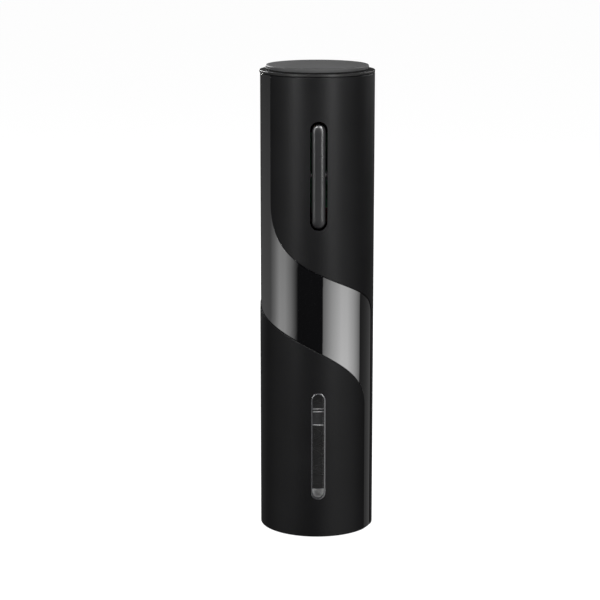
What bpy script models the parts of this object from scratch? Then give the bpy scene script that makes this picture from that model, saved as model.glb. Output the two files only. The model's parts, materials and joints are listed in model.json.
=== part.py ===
"""Cordless electric wine opener, built as the separate pieces it comes apart into.

The body is a plain upright cylinder. Two matt covers and a glossy S-shaped band wrap a chassis of two
half tubes, which holds, from the top down, four AA cells, a motor, a two-stage planetary gearbox, the
worm in its cork chamber and the sleeve that takes the bottle's neck.

Frame: metres, +Z up, origin at the middle of the foot, front towards -Y. Sizes below are in
millimetres. Angles round the body are in degrees from the front, positive towards +X.
"""

import math

import bmesh
import bpy
import numpy as np
from mathutils import Matrix, Vector

MM = 0.001
GAP = 0.3                     # clearance between neighbouring pieces

# Outer body
BODY_R = 24.0
COVER_T = 1.4
BAND_R = 23.7
BAND_T = 1.0
SKIN_BOTTOM = 0.3
SKIN_TOP = 194.1
SHOULDER_Z = 195.4
TOTAL_H = 197.5
CAP_R = 21.5
REAR_SEAM = 100.0             # the rear cover meets the front ones this far round

# The band's two edges, each a cubic Bezier of (angle, height)
UPPER_EDGE = ((-55.5, 141.5), (-55.5, 109.5), (72.5, 109.5), (72.5, 93.0))
LOWER_EDGE = ((-REAR_SEAM, 98.0), (-43.0, 89.0), (56.5, 74.0), (56.5, 55.0))
EDGE_POINTS = 12

# Chassis and foot
FRAME_R = 22.1
FRAME_T = 1.5
FRAME_BOTTOM = 2.7
FRAME_TOP = 188.0
BORE_FIT_R = FRAME_R - FRAME_T - GAP   # radius of the discs that sit inside the chassis
FOOT_T = 2.4
FOOT_SPIGOT_TOP = 4.0
BASE_SCREW_R = 18.95
BASE_SCREW_ANGLES = (60.0, 180.0, 300.0)
BOSS_R = 1.8
BOSS_TOP = 11.0

# Window
WINDOW_W = 6.8
WINDOW_BOTTOM = 16.2
WINDOW_TOP = 63.2
LENS_FLANGE = 1.3             # how far the lens's flange reaches past the window
CUT_FRONT_Y = -26.0           # the front pieces' cutters start ahead of the covers
CUT_BACK_Y = -18.0            # and end behind them
FRAME_CUT_Y = -16.0           # or, in the chassis, behind its wall

# Rocker and its switches
SLOT_W = 7.25
SLOT_BOTTOM = 131.3
SLOT_TOP = 176.7
ROCKER_W = 5.6
ROCKER_BOTTOM = 132.2
ROCKER_TOP = 175.8
ROCKER_Z = 154.0
ROCKER_FRONT_Y = -23.9
ROCKER_T = 2.5
KEEL_Y = -18.9                # inner face of the rocker's keel
KEEL_W = 3.0
KEEL_L = 20.0
PIN_Y = -20.3
PIN_R = 0.7
PIN_L = 9.8
SWITCH_OFFSET = 8.0           # each switch stands this far from the pin
SWITCH_SIZE = 4.5
STEM_R = 0.85
BOARD_Y = -15.4
BOARD_T = 1.0
BOARD_W = 9.2
BOARD_BOTTOM = 138.0
BOARD_TOP = 171.0

# Battery
CELL_R = 7.25
CELL_L = 50.5
NUB_H = 1.3
NUB_R = 2.7
CELL_OFFSET = 7.35            # each cell's axis stands this far from both centre planes
TUBE_R = 19.6
TUBE_T = 1.3
FLOOR_Z = 135.1
FLOOR_T = 1.5
TUBE_TOP = 188.7
PLATE_T = 0.3
NUB_DOWN_Z = 137.5            # lowest point of a cell that stands on its nub
NUB_UP_Z = 140.2              # lowest point of a cell that stands on its flat end
SPRING_WIRE_R = 0.35
SPRING_TURNS = 2.5

# Cap
CAP_UNDERSIDE = SHOULDER_Z + GAP
SKIRT_R = 20.4
SKIRT_IN_R = 18.6
SKIRT_BOTTOM = 189.2
COLLAR_BORE_R = 20.9
SEAL_R = 20.25
SEAL_WIRE_R = 0.5
SEAL_Z = 192.1
DISC_Z = 191.6
DISC_R = 18.2
DISC_T = 1.5

# Motor
MOTOR_R = 12.0
MOTOR_BOTTOM = 104.3
MOTOR_TOP = 130.3
SHAFT_R = 1.0
ROTOR_R = 9.2

# Gearbox: sun, planet and ring in one module; sun + 2 planets = ring
MODULE = 0.9
SUN_TEETH = 9
PLANET_TEETH = 12
RING_TEETH = 33
PLANET_COUNT = 3
PLANET_ORBIT = MODULE * (SUN_TEETH + PLANET_TEETH) / 2
ADDENDUM = 0.8 * MODULE
DEDENDUM = 1.15 * MODULE
TOOTH_BASE_HALF = 0.30        # half widths of a tooth, as parts of the pitch
TOOTH_TIP_HALF = 0.10
RING_R = 17.0
GEAR_FLOOR_Z = 85.1
PLATE_Z = 102.5
CARRIER_R = 13.0
CARRIER_T = 1.5
PLANET_PIN_R = 1.2
FIRST_CARRIER_Z = 94.8
FIRST_PLANET_Z = 96.9
FIRST_PLANET_T = 4.6
SECOND_CARRIER_Z = 87.8
SECOND_PLANET_Z = 89.9
SECOND_PLANET_T = 4.4
OUTPUT_R = 4.0
OUTPUT_BOTTOM = 81.5

# Worm
HUB_R = 6.2
HUB_BOTTOM = 78.5
HUB_TOP = 83.6
WORM_WIRE_R = 1.4
WORM_MEAN_R = 3.6
WORM_PITCH = 9.6
WORM_TOP = 80.3
WORM_TIP = 19.5

# Cork chamber, stop collar, neck sleeve and guide ring
CHAMBER_R = 14.6
CHAMBER_IN_R = 13.2
CHAMBER_BOTTOM = 55.7
CHAMBER_TOP = 84.8
CHAMBER_RIBS = 6
RIB_H = 0.9
COLLAR_Z = 47.6
COLLAR_TOP = 55.4
CORK_R = 12.9
SLEEVE_R = 16.8
SLEEVE_IN_R = 15.9
SLEEVE_BOTTOM = 4.3
SLEEVE_TOP = 47.3
GUIDE_R = 15.6
GUIDE_BOTTOM = 12.5
GUIDE_TOP = 18.6
GUIDE_HOLE_R = 5.9
TAB_W = 3.2


# ---------------------------------------------------------------- scene and materials

def clear_scene():
    """Remove every object, so that the script also runs from the text editor."""
    for obj in list(bpy.data.objects):
        bpy.data.objects.remove(obj, do_unlink=True)


def new_collection(name):
    """Return a new collection linked to the scene."""
    collection = bpy.data.collections.new(name)
    bpy.context.scene.collection.children.link(collection)
    return collection


def make_material(name, colour, roughness, metallic=0.0, alpha=1.0):
    """Return a plain Principled material."""
    material = bpy.data.materials.new(name)
    material.use_nodes = True
    shader = material.node_tree.nodes["Principled BSDF"]
    shader.inputs["Base Color"].default_value = (*colour, 1.0)
    shader.inputs["Roughness"].default_value = roughness
    shader.inputs["Metallic"].default_value = metallic
    shader.inputs["Alpha"].default_value = alpha
    return material


clear_scene()
PARTS = new_collection("electric_wine_opener")
CUTTERS = new_collection("cutters")

MATT_BLACK = make_material("matt_black", (0.012, 0.012, 0.013), 0.5)
GLOSS_BLACK = make_material("gloss_black", (0.004, 0.004, 0.005), 0.08)
SATIN_BLACK = make_material("satin_black", (0.010, 0.010, 0.011), 0.25)
CAP_GREY = make_material("cap_grey", (0.045, 0.047, 0.050), 0.45)
FRAME_BLACK = make_material("frame_black", (0.020, 0.020, 0.022), 0.6)
INNER_GREY = make_material("inner_grey", (0.10, 0.10, 0.11), 0.5)
LENS_CLEAR = make_material("lens_clear", (0.85, 0.87, 0.88), 0.04, alpha=0.3)
RUBBER = make_material("rubber", (0.015, 0.015, 0.015), 0.8)
GUIDE_SILVER = make_material("guide_silver", (0.62, 0.62, 0.62), 0.25, metallic=0.8)
STEEL = make_material("steel", (0.55, 0.55, 0.56), 0.25, metallic=1.0)
WORM_COAT = make_material("worm_coat", (0.045, 0.045, 0.050), 0.35)
GEAR_WHITE = make_material("gear_white", (0.70, 0.69, 0.64), 0.45)
BOARD_GREEN = make_material("board_green", (0.01, 0.11, 0.04), 0.5)
CELL_SLEEVE = make_material("cell_sleeve", (0.16, 0.17, 0.19), 0.35)
NICKEL = make_material("nickel", (0.60, 0.57, 0.50), 0.3, metallic=1.0)
WIRE_RED = make_material("wire_red", (0.45, 0.01, 0.01), 0.5)
WIRE_BLACK = make_material("wire_black", (0.01, 0.01, 0.01), 0.5)


# ---------------------------------------------------------------- shape helpers

def body_point(angle, height, radius):
    """Return the point at an angle from the front, in metres."""
    turn = math.radians(angle)
    return Vector((radius * math.sin(turn), -radius * math.cos(turn), height)) * MM


def add_mesh_object(name, bm, material=None, collection=PARTS):
    """Turn a bmesh into an object and shade it smooth between its sharp edges."""
    mesh = bpy.data.meshes.new(name)
    bm.to_mesh(mesh)
    bm.free()
    mesh.shade_smooth()
    mesh.set_sharp_from_angle(angle=math.radians(35))
    obj = bpy.data.objects.new(name, mesh)
    collection.objects.link(obj)
    if material:
        mesh.materials.append(material)
    if collection is CUTTERS:
        obj.hide_render = True
        obj.display_type = "WIRE"
    return obj


def turned(name, profile, material=None, steps=40, closed=True, collection=PARTS):
    """Turn a (radius, height) profile about Z; it runs down its outer side, top to bottom."""
    bm = bmesh.new()
    verts = [bm.verts.new((r * MM, 0.0, z * MM)) for r, z in profile]
    for first, second in zip(verts, verts[1:]):
        bm.edges.new((first, second))
    if closed:
        bm.edges.new((verts[-1], verts[0]))
    obj = add_mesh_object(name, bm, material, collection)
    screw = obj.modifiers.new("turn", "SCREW")
    screw.axis = "Z"
    screw.steps = steps
    screw.render_steps = steps
    screw.use_merge_vertices = True
    screw.merge_threshold = 0.00001
    screw.use_smooth_shade = True
    return obj


def ring_profile(outer, inner, top, bottom):
    """Return the closed profile of a plain tube."""
    return ((outer, top), (outer, bottom), (inner, bottom), (inner, top))


def axis_cylinder(name, radius, top, bottom, centre=(0.0, 0.0), material=None, segments=10,
                  collection=CUTTERS):
    """Return a solid upright cylinder."""
    bm = bmesh.new()
    place = Matrix.Translation(Vector((centre[0], centre[1], (top + bottom) / 2)) * MM)
    bmesh.ops.create_cone(bm, cap_ends=True, segments=segments, radius1=radius * MM,
                          radius2=radius * MM, depth=(top - bottom) * MM, matrix=place)
    return add_mesh_object(name, bm, material, collection)


def cross_cylinder(name, radius, length, centre, direction, material=None, segments=12,
                   collection=CUTTERS):
    """Return a solid cylinder that lies along X or Y."""
    bm = bmesh.new()
    tilt = Matrix.Rotation(math.radians(90), 4, "Y" if direction == "X" else "X")
    place = Matrix.Translation(Vector(centre) * MM) @ tilt
    bmesh.ops.create_cone(bm, cap_ends=True, segments=segments, radius1=radius * MM,
                          radius2=radius * MM, depth=length * MM, matrix=place)
    return add_mesh_object(name, bm, material, collection)


def block(name, low, high, material=None, collection=CUTTERS):
    """Return a box between two corners."""
    low = Vector(low) * MM
    high = Vector(high) * MM
    bm = bmesh.new()
    size = high - low
    place = Matrix.Translation((low + high) / 2) @ Matrix.Diagonal((*size, 1.0))
    bmesh.ops.create_cube(bm, size=1.0, matrix=place)
    return add_mesh_object(name, bm, material, collection)


def combine(obj, other, operation="DIFFERENCE"):
    """Cut, join or intersect one object with another, exactly."""
    boolean = obj.modifiers.new(operation.lower(), "BOOLEAN")
    boolean.operation = operation
    boolean.solver = "EXACT"
    boolean.object = other
    return obj


def curve_to_mesh(curve_obj, material, collection):
    """Replace a curve object by the welded mesh that it evaluates to."""
    graph = bpy.context.evaluated_depsgraph_get()
    mesh = bpy.data.meshes.new_from_object(curve_obj.evaluated_get(graph))
    matrix = curve_obj.matrix_world.copy()
    name = curve_obj.name
    bpy.data.objects.remove(curve_obj, do_unlink=True)
    bm = bmesh.new()
    bm.from_mesh(mesh)
    bpy.data.meshes.remove(mesh)
    bmesh.ops.remove_doubles(bm, verts=bm.verts, dist=0.000005)
    bmesh.ops.transform(bm, matrix=matrix, verts=bm.verts)
    bmesh.ops.recalc_face_normals(bm, faces=bm.faces)
    return add_mesh_object(name, bm, material, collection)


def outline_solid(name, outlines, thickness, place, material=None, collection=CUTTERS):
    """Return the solid of a flat outline, with any further outlines as holes in it."""
    curve = bpy.data.curves.new(name, "CURVE")
    curve.dimensions = "2D"
    curve.fill_mode = "BOTH"
    curve.extrude = thickness / 2 * MM
    for outline in outlines:
        spline = curve.splines.new("POLY")
        spline.points.add(len(outline) - 1)
        for point, (x, y) in zip(spline.points, outline):
            point.co = (x * MM, y * MM, 0.0, 1.0)
        spline.use_cyclic_u = True
    obj = bpy.data.objects.new(name, curve)
    obj.matrix_world = place
    bpy.context.scene.collection.objects.link(obj)
    bpy.context.view_layer.update()
    return curve_to_mesh(obj, material, collection)


def wire(name, points, radius, material, tapers=None, sides=2, collection=PARTS):
    """Return a round wire along a list of points, as a filled curve."""
    curve = bpy.data.curves.new(name, "CURVE")
    curve.dimensions = "3D"
    curve.bevel_depth = radius * MM
    curve.bevel_resolution = sides
    curve.use_fill_caps = True
    spline = curve.splines.new("POLY")
    spline.points.add(len(points) - 1)
    for index, (point, co) in enumerate(zip(spline.points, points)):
        point.co = (co[0] * MM, co[1] * MM, co[2] * MM, 1.0)
        point.radius = tapers[index] if tapers else 1.0
    curve.materials.append(material)
    obj = bpy.data.objects.new(name, curve)
    collection.objects.link(obj)
    return obj


def circle_points(radius, count, centre=(0.0, 0.0)):
    """Return the corners of a regular polygon."""
    angles = (2 * math.pi * i / count for i in range(count))
    return [(centre[0] + radius * math.cos(a), centre[1] + radius * math.sin(a)) for a in angles]


def front_pill(name, width, bottom, top, near, far, steps=6, material=None, collection=CUTTERS):
    """Return an upright round-ended bar between two depths, near the front being the more negative."""
    radius = width / 2
    points = []
    for centre, start in ((top - radius, 0.0), (bottom + radius, math.pi)):
        for i in range(steps + 1):
            turn = start + math.pi * i / steps
            points.append((radius * math.cos(turn), centre + radius * math.sin(turn)))
    upright = Matrix.Translation((0.0, (near + far) / 2 * MM, 0.0)) @ Matrix.Rotation(math.pi / 2, 4, "X")
    return outline_solid(name, [points], far - near, upright, material, collection)


# ---------------------------------------------------------------- outer skin

def bezier_points(control):
    """Return points of a cubic Bezier as an array of (angle, height)."""
    t = np.linspace(0.0, 1.0, EDGE_POINTS)[:, None]
    p0, p1, p2, p3 = (np.array(p) for p in control)
    return (1 - t) ** 3 * p0 + 3 * (1 - t) ** 2 * t * p1 + 3 * (1 - t) * t ** 2 * p2 + t ** 3 * p3


def offset_edge(control, distance):
    """Return an edge moved sideways over the body's surface; a positive distance moves it up."""
    points = bezier_points(control)
    arc = np.column_stack((np.radians(points[:, 0]) * BODY_R, points[:, 1]))
    along = np.gradient(arc, axis=0)
    along /= np.linalg.norm(along, axis=1)[:, None]
    arc += distance * np.column_stack((-along[:, 1], along[:, 0]))
    return np.column_stack((np.degrees(arc[:, 0] / BODY_R), arc[:, 1]))


def angle_at(edge, height):
    """Return the angle at which an edge, which falls all the way, crosses a height."""
    return float(np.interp(height, edge[::-1, 1], edge[::-1, 0]))


def wrapped_panel(name, columns, rows, place, radius, thickness, material, collection=PARTS):
    """Return a shell wrapped on the body: place(u, v) gives the angle and height of a grid point."""
    bm = bmesh.new()
    bmesh.ops.create_grid(bm, x_segments=columns, y_segments=rows, size=0.5)
    for vert in bm.verts:
        column = round((vert.co.x + 0.5) * columns)
        row = round((vert.co.y + 0.5) * rows)
        angle, height = place(column, row)
        vert.co = body_point(angle, height, radius)
    obj = add_mesh_object(name, bm, material, collection)
    solidify = obj.modifiers.new("thickness", "SOLIDIFY")
    solidify.thickness = thickness * MM
    solidify.offset = -1.0
    return obj


def seam_angle(side, gap_side):
    """Return the angle of a rear seam, moved a gap towards one side."""
    return side * REAR_SEAM + gap_side * math.degrees(GAP / BODY_R)


def build_upper_cover():
    """The matt upper cover, which also runs down the right side to the foot."""
    edge = offset_edge(UPPER_EDGE, GAP / 2)
    heights = [SKIN_BOTTOM, *edge[::-1, 1], SKIN_TOP]
    right = seam_angle(1, -1)
    columns = 16

    def place(column, row):
        left = angle_at(edge, heights[row])
        return left + (right - left) * column / columns, heights[row]

    cover = wrapped_panel("upper_cover", columns, len(heights) - 1, place, BODY_R, COVER_T, MATT_BLACK)
    slot = front_pill("rocker_slot_cutter", SLOT_W, SLOT_BOTTOM, SLOT_TOP, CUT_FRONT_Y, CUT_BACK_Y)
    return combine(cover, slot)


def build_lower_cover():
    """The matt lower cover, with the window's opening."""
    edge = offset_edge(LOWER_EDGE, -GAP / 2)
    left = seam_angle(-1, 1)

    def place(column, row):
        angle, height = edge[column]
        return max(angle, left), height if row == 1 else SKIN_BOTTOM

    cover = wrapped_panel("lower_cover", len(edge) - 1, 1, place, BODY_R, COVER_T, MATT_BLACK)
    window = front_pill("window_cutter", WINDOW_W, WINDOW_BOTTOM, WINDOW_TOP, CUT_FRONT_Y, CUT_BACK_Y)
    return combine(cover, window)


def build_gloss_band():
    """The glossy S-shaped band between the covers."""
    upper = offset_edge(UPPER_EDGE, -GAP / 2)
    lower = offset_edge(LOWER_EDGE, GAP)
    heights = sorted([SKIN_BOTTOM, SKIN_TOP, *upper[:, 1], *lower[:, 1]])
    left_limit = seam_angle(-1, 1)
    columns = 12

    def place(column, row):
        height = heights[row]
        left = max(angle_at(lower, height), left_limit)
        return left + (angle_at(upper, height) - left) * column / columns, height

    return wrapped_panel("gloss_band", columns, len(heights) - 1, place, BAND_R, BAND_T, GLOSS_BLACK)


def build_rear_cover():
    """The matt back, between the two rear seams."""
    start = seam_angle(1, 1)
    end = 360 + seam_angle(-1, -1)
    columns = 16

    def place(column, row):
        height = SKIN_TOP if row else SKIN_BOTTOM
        return start + (end - start) * column / columns, height

    return wrapped_panel("rear_cover", columns, 1, place, BODY_R, COVER_T, MATT_BLACK)


def build_top_collar():
    """The satin shoulder ring, whose skirt stands on the chassis."""
    chamfer = 0.4
    flange_bottom = SKIN_TOP + GAP
    profile = (
        (BODY_R - chamfer, SHOULDER_Z), (BODY_R, SHOULDER_Z - chamfer), (BODY_R, flange_bottom),
        (FRAME_R, flange_bottom), (FRAME_R, FRAME_TOP + GAP), (COLLAR_BORE_R, FRAME_TOP + GAP),
        (COLLAR_BORE_R, SHOULDER_Z),
    )
    return turned("top_collar", profile, SATIN_BLACK)


def build_window_lens():
    """The clear lens: a round-ended window with a wider flange behind it."""
    def patch(name, half_angle, outer, inner, collection, material=None):
        low = WINDOW_BOTTOM - 4
        high = WINDOW_TOP + 4

        def place(column, row):
            return half_angle * (column / 4 - 1), high if row else low

        return wrapped_panel(name, 8, 1, place, outer, outer - inner, material, collection)

    lens = patch("window_lens", 24.0, BAND_R, 21.5, PARTS, LENS_CLEAR)
    face = front_pill("lens_outline", WINDOW_W - 2 * GAP, WINDOW_BOTTOM + GAP, WINDOW_TOP - GAP,
                      CUT_FRONT_Y, CUT_BACK_Y)
    combine(lens, face, "INTERSECT")
    flange = patch("lens_flange", 24.0, FRAME_R, FRAME_R - 1.2, CUTTERS)
    outline = front_pill("flange_outline", WINDOW_W + 2 * LENS_FLANGE, WINDOW_BOTTOM - LENS_FLANGE,
                         WINDOW_TOP + LENS_FLANGE, CUT_FRONT_Y, CUT_BACK_Y)
    combine(flange, outline, "INTERSECT")
    return combine(lens, flange, "UNION")


# ---------------------------------------------------------------- chassis and foot

def half_tube(name, start, end):
    """Return one half of the chassis tube."""
    columns = 18

    def place(column, row):
        height = FRAME_TOP if row else FRAME_BOTTOM
        return start + (end - start) * column / columns, height

    return wrapped_panel(name, columns, 1, place, FRAME_R, FRAME_T, FRAME_BLACK)


def screw_centre(angle):
    """Return the centre of a foot screw, in millimetres."""
    point = body_point(angle, 0.0, BASE_SCREW_R) / MM
    return point.x, point.y


def add_boss(frame, angle, number):
    """Join a screw boss to the inside of a chassis half and drill it."""
    centre = screw_centre(angle)
    boss = axis_cylinder(f"boss_{number}", BOSS_R, BOSS_TOP, FOOT_SPIGOT_TOP + GAP, centre)
    combine(frame, boss, "UNION")
    hole = axis_cylinder(f"boss_hole_{number}", 0.95, BOSS_TOP - 1, 0.0, centre, segments=8)
    combine(frame, hole)


def build_front_frame():
    """The front chassis half, with the window, the rocker's opening and the lugs for its pin."""
    frame = half_tube("front_frame", -89.0, 89.0)
    clear = LENS_FLANGE + GAP
    window = front_pill("frame_window_cutter", WINDOW_W + 2 * clear, WINDOW_BOTTOM - clear,
                        WINDOW_TOP + clear, CUT_FRONT_Y, FRAME_CUT_Y)
    combine(frame, window)
    opening = front_pill("frame_slot_cutter", SLOT_W + 0.6, SLOT_BOTTOM - 0.8, SLOT_TOP + 0.8,
                         CUT_FRONT_Y, FRAME_CUT_Y)
    combine(frame, opening)
    for side in (-1, 1):
        edges = sorted((side * 3.2, side * 5.2))
        lug = block(f"pin_lug_{side}", (edges[0], -21.3, ROCKER_Z - 1.9), (edges[1], KEEL_Y, ROCKER_Z + 1.9))
        combine(frame, lug, "UNION")
    bore = cross_cylinder("pin_lug_bore", PIN_R + GAP, 2 * 5.4, (0, PIN_Y, ROCKER_Z), "X")
    combine(frame, bore)
    for number, angle in ((1, BASE_SCREW_ANGLES[0]), (3, BASE_SCREW_ANGLES[2])):
        add_boss(frame, angle, number)
    return frame


def build_rear_frame():
    """The rear chassis half."""
    frame = half_tube("rear_frame", 91.0, 269.0)
    add_boss(frame, BASE_SCREW_ANGLES[1], 2)
    return frame


def build_base_ring():
    """The foot, a flat ring with a chamfered mouth for the bottle and three screw holes."""
    mouth_chamfer = 1.1
    profile = (
        (BORE_FIT_R, FOOT_SPIGOT_TOP), (BORE_FIT_R, FOOT_T), (FRAME_R, FOOT_T), (FRAME_R, 0.0),
        (SLEEVE_IN_R + mouth_chamfer, 0.0), (SLEEVE_IN_R, mouth_chamfer), (SLEEVE_IN_R, FOOT_SPIGOT_TOP),
    )
    ring = turned("base_ring", profile, FRAME_BLACK, 32)
    for number, angle in enumerate(BASE_SCREW_ANGLES, 1):
        centre = screw_centre(angle)
        hole = axis_cylinder(f"foot_hole_{number}", 1.1, FOOT_SPIGOT_TOP + 1, -1.0, centre, segments=8)
        combine(ring, hole)
        recess = axis_cylinder(f"foot_recess_{number}", 1.8, 1.7, -1.0, centre)
        combine(ring, recess)
    return ring


def build_base_screw(number, angle):
    """A small pan-head screw that holds the foot to the chassis."""
    head_bottom, head_top, shank_top = 0.4, 1.4, 9.5
    profile = ((0.0, shank_top), (0.7, shank_top), (0.7, head_top), (1.4, head_top), (1.4, head_bottom),
               (0.0, head_bottom))
    screw = turned(f"base_screw_{number}", profile, STEEL, steps=10, closed=False)
    screw.location = body_point(angle, 0.0, BASE_SCREW_R)
    return screw


# ---------------------------------------------------------------- rocker and switches

def build_rocker():
    """The rocker bar, crowned at the front, with a keel behind that the pin passes through."""
    rocker = front_pill("rocker_button", ROCKER_W, ROCKER_BOTTOM, ROCKER_TOP, ROCKER_FRONT_Y,
                        ROCKER_FRONT_Y + ROCKER_T, material=SATIN_BLACK, collection=PARTS)
    bm = bmesh.new()
    bm.from_mesh(rocker.data)
    front = ROCKER_FRONT_Y * MM
    rim = [e for e in bm.edges if e.is_manifold and all(abs(v.co.y - front) < 1e-6 for v in e.verts)
           and e.calc_face_angle() > 1.0]
    bmesh.ops.bevel(bm, geom=rim, offset=0.9 * MM, segments=2, profile=0.5, affect="EDGES")
    bm.to_mesh(rocker.data)
    bm.free()
    keel = block("rocker_keel", (-KEEL_W / 2, ROCKER_FRONT_Y + ROCKER_T - 0.5, ROCKER_Z - KEEL_L / 2),
                 (KEEL_W / 2, KEEL_Y, ROCKER_Z + KEEL_L / 2))
    combine(rocker, keel, "UNION")
    bore = cross_cylinder("rocker_bore", PIN_R + GAP, KEEL_W + 2, (0, PIN_Y, ROCKER_Z), "X")
    return combine(rocker, bore)


def build_switch(name, side):
    """A tact switch and its stem, above or below the rocker's pin."""
    height = ROCKER_Z + side * SWITCH_OFFSET
    half = SWITCH_SIZE / 2
    back = BOARD_Y - BOARD_T / 2 - GAP
    body = block(f"{name}_switch", (-half, back - 1.2, height - half), (half, back, height + half),
                 FRAME_BLACK, PARTS)
    bore = cross_cylinder(f"{name}_switch_bore", STEM_R + GAP, 2.0, (0, back - 1.25, height), "Y")
    combine(body, bore)
    tip = KEEL_Y + GAP
    foot = back - 0.7
    stem = cross_cylinder(f"{name}_switch_stem", STEM_R, foot - tip, (0, (foot + tip) / 2, height), "Y",
                          WIRE_RED, collection=PARTS)
    return body, stem


def build_controls():
    """The rocker, its pin, the switch board and both switches."""
    build_rocker()
    cross_cylinder("rocker_pin", PIN_R, PIN_L, (0, PIN_Y, ROCKER_Z), "X", STEEL, collection=PARTS)
    block("switch_board", (-BOARD_W / 2, BOARD_Y - BOARD_T / 2, BOARD_BOTTOM),
          (BOARD_W / 2, BOARD_Y + BOARD_T / 2, BOARD_TOP), BOARD_GREEN, PARTS)
    build_switch("upper", 1)
    build_switch("lower", -1)


def build_motor_wires():
    """Two wires from the motor's terminals up to the switch board."""
    for name, side, material in (("motor_wire_red", 1, WIRE_RED), ("motor_wire_black", -1, WIRE_BLACK)):
        points = [(side * x, y, z) for x, y, z in (
            (6.0, -1.6, 133.2), (5.6, -7.0, 133.2), (4.6, -13.0, 133.3), (3.7, -16.2, 134.2),
            (3.4, -16.9, 136.5), (3.4, -16.9, 140.0))]
        wire(name, points, 0.5, material, sides=1)


# ---------------------------------------------------------------- battery

def build_battery_tube():
    """The cup that holds the cells, open at the front for the switch board."""
    inner = TUBE_R - TUBE_T
    profile = ((0.0, FLOOR_Z + FLOOR_T), (inner, FLOOR_Z + FLOOR_T), (inner, TUBE_TOP), (TUBE_R, TUBE_TOP),
               (TUBE_R, FLOOR_Z), (0.0, FLOOR_Z))
    tube = turned("battery_tube", profile, FRAME_BLACK, 32, closed=False)
    opening = block("board_opening", (-5.5, -25.0, FLOOR_Z - 1), (5.5, -14.2, SLOT_TOP + 1.5))
    return combine(tube, opening)


def cell_axes():
    """Yield each cell's name, its axis and whether its nub points up."""
    places = (("front_left", -1, -1, False), ("rear_left", -1, 1, True),
              ("rear_right", 1, 1, False), ("front_right", 1, -1, True))
    for name, x, y, nub_up in places:
        yield name, Vector((x * CELL_OFFSET, y * CELL_OFFSET, 0.0)), nub_up


def build_cell(name, axis, nub_up):
    """One AA cell, its nub up or down."""
    body = CELL_L - NUB_H
    edge = 0.6
    if nub_up:
        low = NUB_UP_Z
        profile = [(0, CELL_L), (NUB_R, CELL_L), (NUB_R, body), (CELL_R - edge, body), (CELL_R, body - edge),
                   (CELL_R, edge), (CELL_R - edge, 0), (0, 0)]
    else:
        low = NUB_DOWN_Z
        profile = [(0, CELL_L), (CELL_R - edge, CELL_L), (CELL_R, CELL_L - edge), (CELL_R, NUB_H + edge),
                   (CELL_R - edge, NUB_H), (NUB_R, NUB_H), (NUB_R, 0), (0, 0)]
    cell = turned(f"battery_cell_{name}", profile, CELL_SLEEVE, steps=16, closed=False)
    cell.location = (axis + Vector((0, 0, low))) * MM
    return cell


def build_cell_spring(name, axis, low, high, wide_end_up):
    """A conical contact spring that presses on a cell's flat end."""
    per_turn = 8
    count = int(SPRING_TURNS * per_turn)
    points = []
    for i in range(count + 1):
        part = i / count
        radius = 2.4 + 1.4 * (part if wide_end_up else 1 - part)
        turn = 2 * math.pi * i / per_turn
        points.append((axis.x + radius * math.cos(turn), axis.y + radius * math.sin(turn),
                       low + (high - low) * part))
    return wire(f"contact_spring_{name}", points, SPRING_WIRE_R, NICKEL, sides=0)


def build_contacts():
    """The contact plates at both ends of the cells, and the springs."""
    low = FLOOR_Z + FLOOR_T + GAP
    half = 4.0
    x = CELL_OFFSET
    for name, side in (("plus_terminal", -1), ("minus_terminal", 1)):
        edges = sorted((side * 1.0, side * (x + half)))
        block(name, (edges[0], -x - half + 1, low), (edges[1], -x + half, low + PLATE_T), NICKEL, PARTS)
    block("bottom_link", (-x - half, x - half, low), (x + half, x + half, low + PLATE_T), NICKEL, PARTS)
    high = DISC_Z - GAP
    for name, side in (("left", -1), ("right", 1)):
        edges = sorted((side * (x - half), side * (x + half)))
        block(f"top_link_{name}", (edges[0], -x - half, high - PLATE_T), (edges[1], x + half, high),
              NICKEL, PARTS)
    wire_gap = SPRING_WIRE_R + 0.1
    for name, axis, nub_up in cell_axes():
        build_cell(name, axis, nub_up)
        if nub_up:
            build_cell_spring(name, axis, low + PLATE_T + wire_gap, NUB_UP_Z - wire_gap, False)
        else:
            flat_end = NUB_DOWN_Z + CELL_L
            build_cell_spring(name, axis, flat_end + wire_gap, high - PLATE_T - wire_gap, True)


# ---------------------------------------------------------------- cap

def build_cap():
    """The battery cap, its seal and the contact disc that swivels under it."""
    edge = 0.8
    groove_half = 0.7
    groove_r = SEAL_R - SEAL_WIRE_R - 0.2
    pin_r = 2.1
    round_edge = [(CAP_R - edge + edge * math.sin(a), TOTAL_H - edge + edge * math.cos(a))
                  for a in (math.radians(30 * i) for i in range(4))]
    profile = [
        (0.0, TOTAL_H), *round_edge, (CAP_R, CAP_UNDERSIDE), (SKIRT_R, CAP_UNDERSIDE),
        (SKIRT_R, SEAL_Z + groove_half), (groove_r, SEAL_Z + groove_half), (groove_r, SEAL_Z - groove_half),
        (SKIRT_R, SEAL_Z - groove_half), (SKIRT_R, SKIRT_BOTTOM), (SKIRT_IN_R, SKIRT_BOTTOM),
        (SKIRT_IN_R, CAP_UNDERSIDE), (pin_r, CAP_UNDERSIDE), (pin_r, DISC_Z), (0.0, DISC_Z),
    ]
    turned("battery_cap", profile, CAP_GREY, 36, closed=False)
    bpy.ops.mesh.primitive_torus_add(major_radius=SEAL_R * MM, minor_radius=SEAL_WIRE_R * MM,
                                     major_segments=32, minor_segments=5, location=(0, 0, SEAL_Z * MM))
    seal = bpy.context.object
    seal.name = "cap_seal"
    seal.data.materials.append(RUBBER)
    for collection in list(seal.users_collection):
        collection.objects.unlink(seal)
    PARTS.objects.link(seal)
    turned("contact_disc", ring_profile(DISC_R, pin_r + GAP, DISC_Z + DISC_T, DISC_Z), FRAME_BLACK, 32)


# ---------------------------------------------------------------- motor

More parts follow.
